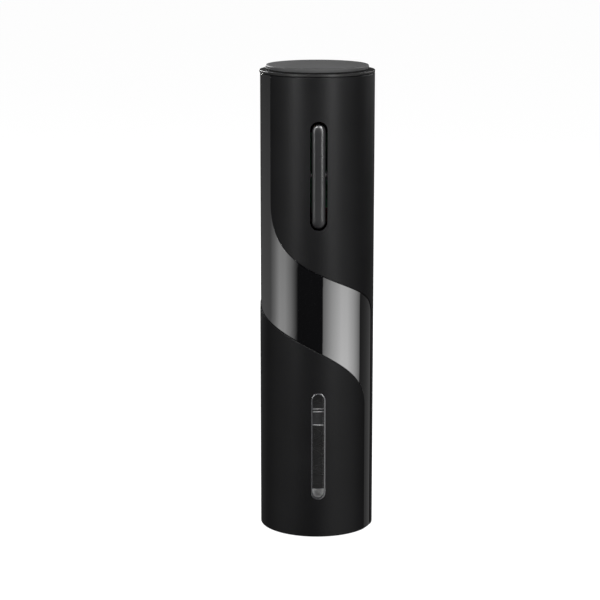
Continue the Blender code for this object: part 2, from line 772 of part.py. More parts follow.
def build_motor():
    """The motor: can, end cap with its terminals, rotor and the pinion on its shaft."""
    wall = 1.0
    turned("motor_can", ((MOTOR_R, MOTOR_TOP), (MOTOR_R, MOTOR_BOTTOM), (1.6, MOTOR_BOTTOM),
                         (1.6, MOTOR_BOTTOM + wall), (MOTOR_R - wall, MOTOR_BOTTOM + wall),
                         (MOTOR_R - wall, MOTOR_TOP)), STEEL, 24)
    seat = MOTOR_TOP + GAP
    plug = MOTOR_R - wall - GAP
    top = MOTOR_TOP + 1.9
    cap = turned("motor_end_cap", ((0.0, top), (MOTOR_R, top), (MOTOR_R, seat), (plug, seat),
                                   (plug, seat - 2), (1.4, seat - 2), (1.4, seat - 0.2), (0.0, seat - 0.2)),
                 INNER_GREY, 24, closed=False)
    for side in (-1, 1):
        tab = block(f"terminal_{side}", (side * 6 - 1, -0.4, top - 0.4), (side * 6 + 1, 0.4, top + 1.8))
        combine(cap, tab, "UNION")
    shaft_bottom = FIRST_PLANET_Z - 0.2
    turned("motor_rotor", (
        (0.0, seat - 0.6), (SHAFT_R, seat - 0.6), (SHAFT_R, 127.5), (3.0, 127.5), (3.0, 124.5),
        (SHAFT_R, 124.5), (SHAFT_R, 123.0), (ROTOR_R, 123.0), (ROTOR_R, 107.5), (SHAFT_R, 107.5),
        (SHAFT_R, shaft_bottom), (0.0, shaft_bottom)), STEEL, 16, closed=False)
    pinion = (gear_outline(SUN_TEETH, space_at_zero=True), circle_points(SHAFT_R + GAP, 8))
    gear("motor_pinion", pinion, shaft_bottom, FIRST_PLANET_Z + FIRST_PLANET_T + 0.4, NICKEL)


# ---------------------------------------------------------------- gearbox

def gear_outline(teeth, space_at_zero=False, internal=False):
    """Return a gear's outline, with a tooth or a space at angle zero."""
    pitch_r = MODULE * teeth / 2
    outward = -1 if internal else 1
    base_r = pitch_r - outward * DEDENDUM
    tip_r = pitch_r + outward * ADDENDUM
    shift = 0.5 if space_at_zero else 0.0
    points = []
    for tooth in range(teeth):
        for offset, radius in ((-TOOTH_BASE_HALF, base_r), (-TOOTH_TIP_HALF, tip_r),
                               (TOOTH_TIP_HALF, tip_r), (TOOTH_BASE_HALF, base_r)):
            turn = 2 * math.pi * (tooth + shift + offset) / teeth
            points.append((radius * math.cos(turn), radius * math.sin(turn)))
    return points


def gear(name, outlines, low, high, material, collection=PARTS):
    """Return the solid of a gear between two heights."""
    place = Matrix.Translation((0.0, 0.0, (low + high) / 2 * MM))
    return outline_solid(name, outlines, high - low, place, material, collection)


def planet_angles():
    """Return the angles of a stage's planets."""
    return [2 * math.pi * i / PLANET_COUNT for i in range(PLANET_COUNT)]


def build_planets(stage, low, thickness):
    """The three planets of a stage, each with its origin on its own pin's axis."""
    outlines = (gear_outline(PLANET_TEETH), circle_points(PLANET_PIN_R + GAP, 8))
    for number, angle in enumerate(planet_angles(), 1):
        planet = gear(f"{stage}_planet_{number}", outlines, low, low + thickness, GEAR_WHITE)
        planet.location = (PLANET_ORBIT * MM * math.cos(angle), PLANET_ORBIT * MM * math.sin(angle), 0.0)
        planet.rotation_euler.z = angle


def add_planet_pins(carrier, stage, low, high):
    """Join the pins that the planets turn on to a carrier."""
    for number, angle in enumerate(planet_angles(), 1):
        centre = (PLANET_ORBIT * math.cos(angle), PLANET_ORBIT * math.sin(angle))
        pin = axis_cylinder(f"{stage}_pin_{number}", PLANET_PIN_R, high, low, centre, segments=8)
        combine(carrier, pin, "UNION")


def build_gearbox():
    """Both stages, which share one ring gear."""
    ring_low = GEAR_FLOOR_Z + 1.5 + GAP
    ring_high = PLATE_Z - GAP
    ring = (circle_points(RING_R, 24), gear_outline(RING_TEETH, space_at_zero=True, internal=True))
    gear("ring_gear", ring, ring_low, ring_high, GEAR_WHITE)
    turned("motor_plate", ring_profile(BORE_FIT_R, 1.5, PLATE_Z + 1.5, PLATE_Z), STEEL, 32)
    turned("gearbox_floor", ring_profile(BORE_FIT_R, 6.0, GEAR_FLOOR_Z + 1.5, GEAR_FLOOR_Z), STEEL, 32)
    turned("output_bush", ring_profile(5.7, OUTPUT_R + GAP, 87.4, 84.0), NICKEL, 16)

    disc = FIRST_CARRIER_Z
    first = turned("first_carrier", ((0, disc + CARRIER_T), (CARRIER_R, disc + CARRIER_T),
                                     (CARRIER_R, disc), (0, disc)), GEAR_WHITE, 24, closed=False)
    add_planet_pins(first, "first", disc + 0.5, FIRST_PLANET_Z + FIRST_PLANET_T + 0.2)
    sun = gear("second_sun", (gear_outline(SUN_TEETH, space_at_zero=True),), SECOND_PLANET_Z - 0.1,
               disc + 0.4, None, CUTTERS)
    combine(first, sun, "UNION")
    build_planets("first", FIRST_PLANET_Z, FIRST_PLANET_T)

    disc = SECOND_CARRIER_Z
    output = turned("output_carrier", ((0, disc + CARRIER_T), (CARRIER_R, disc + CARRIER_T),
                                       (CARRIER_R, disc), (OUTPUT_R, disc), (OUTPUT_R, OUTPUT_BOTTOM),
                                       (0, OUTPUT_BOTTOM)), GEAR_WHITE, 24, closed=False)
    add_planet_pins(output, "second", disc + 0.5, SECOND_PLANET_Z + SECOND_PLANET_T + 0.1)
    build_planets("second", SECOND_PLANET_Z, SECOND_PLANET_T)


# ---------------------------------------------------------------- worm and bottle end

def worm_path():
    """Return the worm's centre line and its taper: a straight shank, then a right-hand helix."""
    per_turn = 10
    helix_top = WORM_TOP - 3.0
    ramp_turns = 0.7
    taper_turns = 0.8
    turns = (helix_top - WORM_TIP) / WORM_PITCH
    count = int(round(turns * per_turn))
    points = [(0.0, 0.0, WORM_TOP)]
    tapers = [1.0]
    for i in range(count + 1):
        done = turns * i / count
        ramp = min(done / ramp_turns, 1.0)
        radius = WORM_MEAN_R * (3 * ramp ** 2 - 2 * ramp ** 3)
        angle = -2 * math.pi * done
        points.append((radius * math.cos(angle), radius * math.sin(angle), helix_top - done * WORM_PITCH))
        tapers.append(max(0.15, min(1.0, (turns - done) / taper_turns)))
    return points, tapers


def build_worm():
    """The worm and the hub that fixes it to the output shaft."""
    points, tapers = worm_path()
    wire("worm", points, WORM_WIRE_R, WORM_COAT, tapers, sides=1)
    bore = WORM_WIRE_R + GAP + 0.05
    web_top, web_bottom = OUTPUT_BOTTOM - GAP, WORM_TOP + GAP
    profile = ((0.0, web_top), (OUTPUT_R + GAP, web_top), (OUTPUT_R + GAP, HUB_TOP), (HUB_R, HUB_TOP),
               (HUB_R, HUB_BOTTOM), (bore, HUB_BOTTOM), (bore, web_bottom), (0.0, web_bottom))
    turned("worm_hub", profile, FRAME_BLACK, 16, closed=False)


def build_cork_chamber():
    """The ribbed chamber that holds the pulled cork, slotted at the front behind the window."""
    chamber = turned("cork_chamber", ring_profile(CHAMBER_R, CHAMBER_IN_R, CHAMBER_TOP, CHAMBER_BOTTOM),
                     INNER_GREY, 32)
    slot = front_pill("chamber_slot_cutter", 7.6, CHAMBER_BOTTOM - 8, WINDOW_TOP + 0.6, -20, -8)
    combine(chamber, slot)
    for number in range(CHAMBER_RIBS):
        angle = 30.0 + number * 360.0 / CHAMBER_RIBS
        rib = block(f"chamber_rib_{number}", (-0.6, -CHAMBER_IN_R - 0.5, CHAMBER_BOTTOM + 1),
                    (0.6, -CHAMBER_IN_R + RIB_H, CHAMBER_TOP - 6))
        rib.rotation_euler.z = math.radians(angle)
        combine(chamber, rib, "UNION")
    return chamber


def build_stop_collar():
    """The collar that the bottle's lip stops against."""
    chamfer = 1.2
    profile = ((BORE_FIT_R, COLLAR_TOP), (BORE_FIT_R, COLLAR_Z), (CORK_R + chamfer, COLLAR_Z),
               (CORK_R, COLLAR_Z + chamfer), (CORK_R, COLLAR_TOP))
    return turned("stop_collar", profile, INNER_GREY, 32)


def build_neck_sleeve():
    """The sleeve round the bottle's neck: open behind the window, grooved for the guide's tabs."""
    sleeve = turned("neck_sleeve", ring_profile(SLEEVE_R, SLEEVE_IN_R, SLEEVE_TOP, SLEEVE_BOTTOM),
                    FRAME_BLACK, 32)
    window = block("sleeve_window_cutter", (-4.4, -20.0, WINDOW_BOTTOM - 2.5), (4.4, -10.0, SLEEVE_TOP + 1))
    combine(sleeve, window)
    half = TAB_W / 2 + GAP
    for side in (-1, 1):
        edges = sorted((side * 12.0, side * 20.0))
        groove = block(f"guide_groove_{side}", (edges[0], -half, GUIDE_BOTTOM - GAP),
                       (edges[1], half, SLEEVE_TOP + 1))
        combine(sleeve, groove)
    return sleeve


def build_guide_ring():
    """The ring that slides up with the bottle: a rim, a web and a hub round the worm."""
    rim_in, web_low, web_high, hub_r, hub_top = 14.3, 14.0, 15.4, 8.0, 18.4
    profile = (
        (GUIDE_R, GUIDE_TOP), (GUIDE_R, GUIDE_BOTTOM), (rim_in, GUIDE_BOTTOM), (rim_in - 0.6, web_low),
        (GUIDE_HOLE_R, web_low), (GUIDE_HOLE_R, hub_top), (hub_r, hub_top), (hub_r, web_high),
        (rim_in, web_high), (rim_in, GUIDE_TOP),
    )
    ring = turned("guide_ring", profile, GUIDE_SILVER, 32)
    for side in (-1, 1):
        edges = sorted((side * (GUIDE_R - 0.6), side * (SLEEVE_R - 0.1)))
        tab = block(f"guide_tab_{side}", (edges[0], -TAB_W / 2, GUIDE_BOTTOM),
                    (edges[1], TAB_W / 2, GUIDE_BOTTOM + 3))
        combine(ring, tab, "UNION")
    return ring


# ---------------------------------------------------------------- assembly

def build_shell():
    """The pieces that show from outside."""
    build_upper_cover()
    build_lower_cover()
    build_gloss_band()
    build_rear_cover()
    build_top_collar()
    build_window_lens()


def build_chassis():
    """The chassis halves, the foot and its screws."""
    build_front_frame()
    build_rear_frame()
    build_base_ring()
    for number, angle in enumerate(BASE_SCREW_ANGLES, 1):
        build_base_screw(number, angle)


def build_bottle_end():
    """The pieces that meet the bottle and the cork."""
    build_cork_chamber()
    build_stop_collar()
    build_neck_sleeve()
    build_guide_ring()


build_shell()
build_chassis()
build_controls()
build_motor_wires()
build_battery_tube()
build_contacts()
build_cap()
build_motor()
build_gearbox()
build_worm()
build_bottle_end()
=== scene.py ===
"""Visual model of the cordless electric wine opener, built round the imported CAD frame.

The frame is in metres with +Z up and the front towards -Y. Sizes below are in millimetres and angles in
degrees from the front, positive towards +X, as in the CAD source.
"""
import json
import math

import bmesh
import bpy
from mathutils import Matrix, Vector


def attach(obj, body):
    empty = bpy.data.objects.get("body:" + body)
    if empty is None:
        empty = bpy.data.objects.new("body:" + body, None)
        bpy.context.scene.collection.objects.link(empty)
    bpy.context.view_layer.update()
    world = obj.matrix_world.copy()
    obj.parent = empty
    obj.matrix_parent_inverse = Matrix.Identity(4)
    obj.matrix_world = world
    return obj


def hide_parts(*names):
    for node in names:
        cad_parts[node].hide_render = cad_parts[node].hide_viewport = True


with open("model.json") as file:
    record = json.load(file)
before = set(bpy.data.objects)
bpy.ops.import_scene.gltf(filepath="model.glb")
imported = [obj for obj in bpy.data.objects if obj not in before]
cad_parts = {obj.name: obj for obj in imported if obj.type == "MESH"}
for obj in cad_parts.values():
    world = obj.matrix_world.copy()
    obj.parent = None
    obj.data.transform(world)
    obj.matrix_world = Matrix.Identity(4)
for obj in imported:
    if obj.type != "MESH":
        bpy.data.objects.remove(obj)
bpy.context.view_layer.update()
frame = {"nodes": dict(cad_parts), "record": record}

MM = 0.001
GAP = 0.3
BODY_R = 24.0
BAND_R = 23.7
COVER_T = 1.4
BAND_T = 1.0
SKIN_BOTTOM = 0.3
SKIN_TOP = 194.1
REAR_SEAM = 100.0
UPPER_EDGE = ((-55.5, 141.5), (-55.5, 109.5), (72.5, 109.5), (72.5, 93.0))
LOWER_EDGE = ((-REAR_SEAM, 98.0), (-43.0, 89.0), (56.5, 74.0), (56.5, 55.0))
EDGE_STEPS = 40
FACET_ANGLE = 2.0             # the wrapped shells are flat over this angle only
ROUND_STEPS = 4
COVER_EDGE = 0.15             # radius of the rounding along the covers' seams
SLOT_EDGE = 0.2               # round the rocker's slot
WINDOW_EDGE = 0.35            # round the window
BAND_EDGE = 0.005             # the band's is so small that no bright line shows along its seams

# The window, the slot and the rocker bar are upright and round-ended: (width, bottom, top)
WINDOW = (6.8, 16.2, 63.2)
SLOT = (7.6, 131.3, 176.6)
ROCKER = (5.6, 132.2, 175.0)

LENS_T = 2.2
LENS_EDGE = 0.55              # width of the lens's bright rounded edge
LENS_INSET = 0.15             # the pane stands this far behind the covers
RIM_INSET = 0.05              # and its edge this far

ROCKER_FRONT_Y = -23.9
ROCKER_BACK_Y = -21.4
ROCKER_CROWN = 1.35
ROCKER_END_SLOPE = 0.25       # how much of the crown's spread is added at the bar's ends
KEEL_LOW = (-1.5, ROCKER_BACK_Y - 0.2, 144.0)
KEEL_HIGH = (1.5, -18.9, 164.0)
KEEL_BEVEL = 0.3
PIN_HALF_L = 3.0              # the pin's bore is cut this far to both sides
PIN_BORE_R = 1.0
PIN_Y = -20.3
PIN_Z = 154.0

CAP_TOP = 197.5
CAP_UNDERSIDE = 195.7
CAP_R = 21.5
SKIRT_R = 20.4
SKIRT_IN_R = 18.6
SKIRT_BOTTOM = 189.2
SEAL_GROOVE = (19.55, 191.4, 192.8)     # radius, bottom, top
SEAL_RING = (20.25, 192.1)              # radius and height of the O-ring's wire
SEAL_WIRE_R = 0.5
CAP_POST_R = 2.1
DISC_Z = 191.6
DISC_T = 1.5
DISC_R = 18.2
DISC_BORE_R = 2.4

SHOULDER_TOP = 195.4
SHOULDER_FLANGE = 194.4
SHOULDER_BOTTOM = 188.3
SHOULDER_BORE_R = 20.9
FRAME_R = 22.1

FOOT_T = 2.4
FOOT_SPIGOT_TOP = 4.0
FOOT_SPIGOT_R = 20.3
MOUTH_R = 15.9
MOUTH_FLARE = 1.1
SCREW_ANGLES = (60, 180, 300)
SCREW_CIRCLE_R = 18.95
SCREW_HEAD = (1.8, -1.0, 1.7)           # radius, start and end of the sunk hole
SCREW_HOLE = (1.1, 1.0, 5.0)

WORM_TOP = 80.3
HELIX_TOP = 77.3
WORM_TIP = 19.5
WORM_PITCH = 9.6
WORM_MEAN_R = 3.6
WORM_WIRE_R = 1.4
WORM_STEPS = 40               # points in one turn
RUN_OUT_TURNS = 0.7           # the shank widens into the helix over this much of a turn
POINT_TURNS = 0.8             # and the wire narrows to its tip over this much
TIP_SHARE = 0.06              # of the wire's radius, at the very tip

GUIDE_R = 15.6
GUIDE_BODY_R = 15.3
GUIDE_BOTTOM = 12.5
GUIDE_TOP = 18.6
GUIDE_BODY_TOP = 18.3
GUIDE_WALL_R = 14.3
GUIDE_HOLE_R = 5.9
GUIDE_HUB_R = 8.0
GUIDE_HUB_TOP = 18.4
GUIDE_FUNNEL_R = 13.7
GUIDE_FLOOR = (14.0, 15.4)    # underside and top
COLLAR_R = 19.9
COLLAR_BOTTOM = 47.6
COLLAR_TOP = 55.4
CORK_R = 12.9
CORK_FLARE = 1.2
COLLAR_BEADS = (55.0, 53.8, 48.0)       # heights of the bright lines
BEAD_R = 0.3
SLEEVE_R = 16.8
SLEEVE_BOTTOM = 4.3
SLEEVE_TOP = 47.3
SLEEVE_CUT_TOP = 48.3
SLEEVE_WINDOW = (4.4, -20.0, -10.0, 14.0)         # half width, front, back, bottom
SLEEVE_GROOVE = (12.0, 20.0, 1.9, 12.2)           # inner and outer side, half width, bottom

CELL_OFFSET = 7.35            # each cell's axis stands this far from both centre planes
CELL_R = 7.25
CELL_L = 50.5
NUB_R = 2.7
NUB_H = 1.3
BARE_R = 6.0                  # bare metal inside the folded end of the sleeve
BARE_SUNK = (0.1, 0.3)        # how far the metal's face and back lie inside the cell's end
NUB_UP_Z = 140.2              # lowest point of a cell that stands on its flat end
NUB_DOWN_Z = 137.5            # and of one that stands on its nub
COPPER_Z = 174.0              # the sleeve turns copper-coloured above this height
SPRING_LOW = 137.65
SPRING_HIGH = 188.45
SPRING_H = 2.1
SPRING_R = 2.4
SPRING_WIDENING = 1.4
SPRING_TURNS = 2.5
SPRING_WIRE_R = 0.35
SPRING_STEPS = 60

FLOOR_HALF_M = 6.0
FLOOR_Z_M = -0.0002
FLOOR_GREY = 0.06
FLOOR_GLOW = 0.97

LAMP_DISTANCE_M = 0.9
LAMP_TARGET_Z_M = 0.1
# (name, azimuth from the front towards +X, elevation, (width, height) in metres, watts)
LAMPS = (("strip_left", -44, 22, (0.14, 0.85), 14.0),
         ("strip_right", 28, 21, (0.14, 0.85), 15.0),
         ("overhead", 0, 62, (0.5, 0.3), 2.0),
         ("fill_left", -25, 45, (0.2, 0.2), 12.0),
         ("fill_right", 25, 45, (0.2, 0.2), 12.0),
         ("rear_left", -152, 22, (0.14, 0.35), 16.0),
         ("rear_right", 132, 28, (0.14, 0.6), 9.0))

# Soft panels round the studio: (azimuth from the front towards +X, relative brightness)
STUDIO = ((-180, 0.015), (-165, 0.03), (-148, 0.06), (-112, 0.10), (-98, 0.26), (-84, 0.52), (-70, 0.52),
          (-57, 0.33), (-41, 0.003), (10.5, 0.003), (11.0, 0.27), (30, 0.68), (50, 1.0), (64, 0.96),
          (80, 0.64), (97, 0.22), (97.5, 0.02), (150, 0.06), (180, 0.12))
PANEL_STRENGTH = 2.0          # of the panels at the elevation where they are brightest
PANEL_LOW = (-0.24, 1.2)      # (sine of the elevation, share of the strength) where they are brightest
PANEL_HIGH = (-0.05, 0.3)     # and where they have faded

CAMERA_AZIMUTH = -1.8
CAMERA_ELEVATION = 11.9
CAMERA_DISTANCE_M = 0.86
CAMERA_LENS = 121.5
CAMERA_AIM_M = (-0.00713, 0.09756)      # right of the axis, height
ORBIT_CENTRE_M = 0.097


# Noise textures, in cycles per metre
CLOUD_SCALE = 60.0            # soft wear on moulded plastic
SMEAR_SCALE = 45.0            # handling smears on polished plastic
WAVE_SCALE = 25.0             # and its slight unevenness
HAZE_SCALE = 180.0            # in the clear window
WEAVE_SCALE = 900.0           # of the circuit board's laminate
WRAP_SCALE = 300.0            # of the cells' shrink sleeves


# ---------------------------------------------------------------- materials

def new_material(name):
    """Return a node material with its tree, Principled shader and object coordinates."""
    material = bpy.data.materials.new(name)
    material.use_nodes = True
    tree = material.node_tree
    coordinates = tree.nodes.new("ShaderNodeTexCoord")
    return material, tree, tree.nodes["Principled BSDF"], coordinates.outputs["Object"]


def add_noise(tree, vector, scale, detail=3.0, stretch=(1.0, 1.0, 1.0)):
    """Return the value of a noise texture; scale is in cycles per metre."""
    mapping = tree.nodes.new("ShaderNodeMapping")
    mapping.inputs["Scale"].default_value = stretch
    noise = tree.nodes.new("ShaderNodeTexNoise")
    noise.inputs["Scale"].default_value = scale
    noise.inputs["Detail"].default_value = detail
    tree.links.new(vector, mapping.inputs["Vector"])
    tree.links.new(mapping.outputs["Vector"], noise.inputs["Vector"])
    return noise.outputs["Fac"]


def vary(tree, value, low, high, socket):
    """Drive a number between two limits by a 0 to 1 texture value."""
    spread = tree.nodes.new("ShaderNodeMapRange")
    spread.inputs["To Min"].default_value = low
    spread.inputs["To Max"].default_value = high
    tree.links.new(value, spread.inputs["Value"])
    tree.links.new(spread.outputs["Result"], socket)


def blend_colours(tree, value, dark, light, socket):
    """Drive a colour between two shades by a 0 to 1 texture value."""
    ramp = tree.nodes.new("ShaderNodeValToRGB")
    ramp.color_ramp.elements[0].position = 0.3
    ramp.color_ramp.elements[0].color = (*dark, 1.0)
    ramp.color_ramp.elements[1].position = 0.7
    ramp.color_ramp.elements[1].color = (*light, 1.0)
    tree.links.new(value, ramp.inputs["Fac"])
    tree.links.new(ramp.outputs["Color"], socket)


def add_bump(tree, value, depth, shader, strength=1.0):
    """Raise the surface by a texture value; depth is in metres."""
    bump = tree.nodes.new("ShaderNodeBump")
    bump.inputs["Strength"].default_value = strength
    bump.inputs["Distance"].default_value = depth
    tree.links.new(value, bump.inputs["Height"])
    tree.links.new(bump.outputs["Normal"], shader.inputs["Normal"])


def shades(colour, spread):
    """Return a darker and a lighter shade of a colour."""
    return [tuple(part * (1 + side * spread) for part in colour) for side in (-1, 1)]


def moulded_plastic(name, colour, roughness, specular=0.5, grain=3200.0, depth=0.000004, spread=0.12):
    """Moulded plastic: a fine spark-eroded grain with soft wear in its shine."""
    material, tree, shader, vector = new_material(name)
    fine = add_noise(tree, vector, grain)
    cloud = add_noise(tree, vector, CLOUD_SCALE)
    dark, light = shades(colour, spread)
    blend_colours(tree, cloud, dark, light, shader.inputs["Base Color"])
    vary(tree, cloud, roughness - 0.03, roughness + 0.03, shader.inputs["Roughness"])
    shader.inputs["Specular IOR Level"].default_value = specular
    add_bump(tree, fine, depth, shader)
    return material


def polished_plastic(name, colour, roughness, coat=0.0, specular=0.5):
    """Polished plastic: almost smooth, with faint handling smears in its shine."""
    material, tree, shader, vector = new_material(name)
    smear = add_noise(tree, vector, SMEAR_SCALE, 4.0, (1.0, 1.0, 0.35))
    dark, light = shades(colour, 0.1)
    blend_colours(tree, smear, dark, light, shader.inputs["Base Color"])
    vary(tree, smear, roughness * 0.7, roughness * 1.4, shader.inputs["Roughness"])
    shader.inputs["Specular IOR Level"].default_value = specular
    shader.inputs["Coat Weight"].default_value = coat
    shader.inputs["Coat Roughness"].default_value = 0.03
    shader.inputs["Coat IOR"].default_value = 2.0
    wave = add_noise(tree, vector, WAVE_SCALE, 1.0)
    add_bump(tree, wave, 0.000006, shader)
    return material


def machined_metal(name, colour, roughness, stretch=(1.0, 1.0, 12.0), scale=900.0, depth=0.000003):
    """Machined metal: fine marks drawn out along one direction."""
    material, tree, shader, vector = new_material(name)
    marks = add_noise(tree, vector, scale, 4.0, stretch)
    dark, light = shades(colour, 0.08)
    blend_colours(tree, marks, dark, light, shader.inputs["Base Color"])
    vary(tree, marks, roughness - 0.06, roughness + 0.08, shader.inputs["Roughness"])
    shader.inputs["Metallic"].default_value = 1.0
    add_bump(tree, marks, depth, shader)
    return material


def clear_plastic(name):
    """Clear acrylic: mostly see-through, with a mirror-like surface."""
    material, tree, shader, vector = new_material(name)
    haze = add_noise(tree, vector, HAZE_SCALE)
    blend_colours(tree, haze, (0.012, 0.012, 0.012), (0.015, 0.015, 0.015), shader.inputs["Base Color"])
    vary(tree, haze, 0.02, 0.05, shader.inputs["Roughness"])
    shader.inputs["Alpha"].default_value = 0.2
    shader.inputs["IOR"].default_value = 1.8
    return material


def circuit_board(name):
    """Green solder resist with a faint weave of the laminate."""
    material, tree, shader, vector = new_material(name)
    weave = tree.nodes.new("ShaderNodeTexWave")
    weave.inputs["Scale"].default_value = WEAVE_SCALE
    weave.inputs["Distortion"].default_value = 1.5
    tree.links.new(vector, weave.inputs["Vector"])
    blend_colours(tree, weave.outputs["Fac"], (0.006, 0.085, 0.03), (0.012, 0.13, 0.05),
                  shader.inputs["Base Color"])
    shader.inputs["Roughness"].default_value = 0.35
    add_bump(tree, weave.outputs["Fac"], 0.000004, shader)
    return material


def cell_sleeve(name):
    """A cell's plain shrink sleeve: dark, and copper-coloured towards the top."""
    material, tree, shader, vector = new_material(name)
    split = tree.nodes.new("ShaderNodeSeparateXYZ")
    tree.links.new(vector, split.inputs["Vector"])
    ramp = tree.nodes.new("ShaderNodeMapRange")
    ramp.inputs["From Min"].default_value = COPPER_Z * MM
    ramp.inputs["From Max"].default_value = (COPPER_Z + 0.2) * MM
    tree.links.new(split.outputs["Z"], ramp.inputs["Value"])
    blend_colours(tree, ramp.outputs["Result"], (0.020, 0.021, 0.024), (0.22, 0.095, 0.032),
                  shader.inputs["Base Color"])
    vary(tree, add_noise(tree, vector, WRAP_SCALE), 0.22, 0.34, shader.inputs["Roughness"])
    shader.inputs["Coat Weight"].default_value = 0.15
    return material


MATERIALS = {
    "matt_black": moulded_plastic("matt_black", (0.0011, 0.0011, 0.0012), 0.42, specular=0.075),
    "gloss_black": polished_plastic("gloss_black", (0.0008, 0.0008, 0.0009), 0.03, coat=1.0, specular=1.0),
    "satin_black": polished_plastic("satin_black", (0.0045, 0.0045, 0.0047), 0.28, specular=0.20),
    "shoulder_black": moulded_plastic("shoulder_black", (0.004, 0.004, 0.004), 0.36, specular=0.1),
    "cap_grey": moulded_plastic("cap_grey", (0.0150, 0.0150, 0.0152), 0.60, specular=0.04, grain=2400.0),
    "frame_black": moulded_plastic("frame_black", (0.012, 0.012, 0.013), 0.55, specular=0.3),
    "inner_grey": moulded_plastic("inner_grey", (0.008, 0.008, 0.009), 0.40, specular=0.2),
    "lens_clear": clear_plastic("lens_clear"),
    "lens_edge": polished_plastic("lens_edge", (0.012, 0.012, 0.013), 0.20, specular=1.0),
    "rubber": moulded_plastic("rubber", (0.010, 0.010, 0.010), 0.75, specular=0.3, grain=1800.0),
    "guide_silver": moulded_plastic("guide_silver", (0.85, 0.85, 0.86), 0.24, specular=1.0, grain=480.0,
                                    depth=0.0004, spread=0.2),
    "steel": machined_metal("steel", (0.56, 0.56, 0.57), 0.28),
    "worm_coat": moulded_plastic("worm_coat", (0.022, 0.022, 0.023), 0.40, specular=0.2),
    "gear_white": moulded_plastic("gear_white", (0.68, 0.67, 0.61), 0.42, spread=0.05),
    "board_green": circuit_board("board_green"),
    "cell_sleeve": cell_sleeve("cell_sleeve"),
    "nickel": machined_metal("nickel", (0.62, 0.59, 0.52), 0.26, scale=1500.0),
    "wire_red": polished_plastic("wire_red", (0.08, 0.004, 0.003), 0.38),
    "wire_black": polished_plastic("wire_black", (0.010, 0.010, 0.010), 0.38),
}


def finish_cad_nodes():
    """Give every carried-over CAD node the detailed material of its slot."""
    slot_of = {part["node"]: part["material_slot"] for part in frame["record"]["subparts"]}
    for name, node in frame["nodes"].items():
        node.data.materials.clear()
        node.data.materials.append(MATERIALS[slot_of[name]])


# ---------------------------------------------------------------- shape helpers

def finish_piece(name, bm, slot, body, replaced=None, sharp=40.0, material=None):
    """Turn a bmesh into a shaded piece that rides on a body and stands for a CAD node."""
    bmesh.ops.recalc_face_normals(bm, faces=bm.faces)
    mesh = bpy.data.meshes.new(name)
    bm.to_mesh(mesh)
    bm.free()
    mesh.shade_smooth()
    mesh.set_sharp_from_angle(angle=math.radians(sharp))
    mesh.materials.append(MATERIALS[material or slot])
    piece = bpy.data.objects.new(name, mesh)
    bpy.context.scene.collection.objects.link(piece)
    weighted = piece.modifiers.new("even_shading", "WEIGHTED_NORMAL")
    weighted.keep_sharp = True
    return place_piece(piece, body, replaced)


def place_piece(piece, body, replaced):
    """Attach a piece to its body and hide the CAD node that it replaces."""
    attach(piece, body)
    if replaced:
        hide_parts(replaced)
    return piece


def inset(outline, distance):
    """Return a closed outline moved inwards; a negative distance moves it outwards."""
    count = len(outline)
    area = sum(outline[i - 1][0] * outline[i][1] - outline[i][0] * outline[i - 1][1] for i in range(count))
    side = math.copysign(distance, area)
    moved = []
    for i, point in enumerate(outline):
        here = Vector(point)
        before = (here - Vector(outline[i - 1])).normalized()
        after = (Vector(outline[(i + 1) % count]) - here).normalized()
        normal_before = Vector((-before.y, before.x))
        normal_after = Vector((-after.y, after.x))
        miter = (normal_before + normal_after) / (1.0 + normal_before.dot(normal_after))
        moved.append(here + miter * side)
    return moved


def bridge(bm, rings):
    """Join each closed ring of vertices to the next with quads."""
    for first, second in zip(rings, rings[1:]):
        count = len(first)
        for i in range(count):
            j = (i + 1) % count
            bm.faces.new((first[i], first[j], second[j], second[i]))


def ring_edges(bm, ring):
    """Return the edges of a closed ring of vertices."""
    return [bm.edges.get((ring[i - 1], ring[i])) for i in range(len(ring))]


def slab(outer, holes, thickness, edge, hole_edge=None):
    """Return a flat plate in (arc, height, depth) whose front edges are rounded."""
    bm = bmesh.new()
    fronts = []
    backs = []
    outlines = [(outer, edge, 1)] + [(hole, hole_edge or edge, -1) for hole in holes]
    for outline, radius, side in outlines:
        rings = []
        for k in range(ROUND_STEPS + 1):
            turn = math.pi / 2 * k / ROUND_STEPS
            ring = inset(outline, side * radius * (1 - math.sin(turn)))
            rings.append([bm.verts.new((x, z, radius * (1 - math.cos(turn)))) for x, z in ring])
        rings.append([bm.verts.new((x, z, thickness)) for x, z in outline])
        bridge(bm, rings)
        fronts += ring_edges(bm, rings[0])
        backs += ring_edges(bm, rings[-1])
    for edges, normal in ((fronts, (0, 0, -1)), (backs, (0, 0, 1))):
        bmesh.ops.triangle_fill(bm, edges=edges, normal=normal, use_beauty=True)
    return bm


def wrap(bm, radius):
    """Cut a flat plate into narrow strips and bend it round the body."""
    step = math.radians(FACET_ANGLE) * BODY_R
    low = min(v.co.x for v in bm.verts)
    high = max(v.co.x for v in bm.verts)
    for number in range(math.ceil(low / step), math.floor(high / step) + 1):
        geometry = bm.verts[:] + bm.edges[:] + bm.faces[:]
        bmesh.ops.bisect_plane(bm, geom=geometry, dist=0.0001, plane_co=(number * step, 0, 0),
                               plane_no=(1, 0, 0))
    for vert in bm.verts:
        turn = vert.co.x / BODY_R
        distance = radius - vert.co.z
        vert.co = Vector((distance * math.sin(turn), -distance * math.cos(turn), vert.co.y)) * MM
    return bm


def bezier(control, steps=EDGE_STEPS):
    """Return the points of a cubic Bezier."""
    points = []
    for i in range(steps + 1):
        t = i / steps
        weights = ((1 - t) ** 3, 3 * (1 - t) ** 2 * t, 3 * (1 - t) * t ** 2, t ** 3)
        points.append(tuple(sum(w * p[axis] for w, p in zip(weights, control)) for axis in (0, 1)))
    return points


def unrolled(points):
    """Return (angle, height) points as (arc length, height)."""
    return [(math.radians(angle) * BODY_R, height) for angle, height in points]


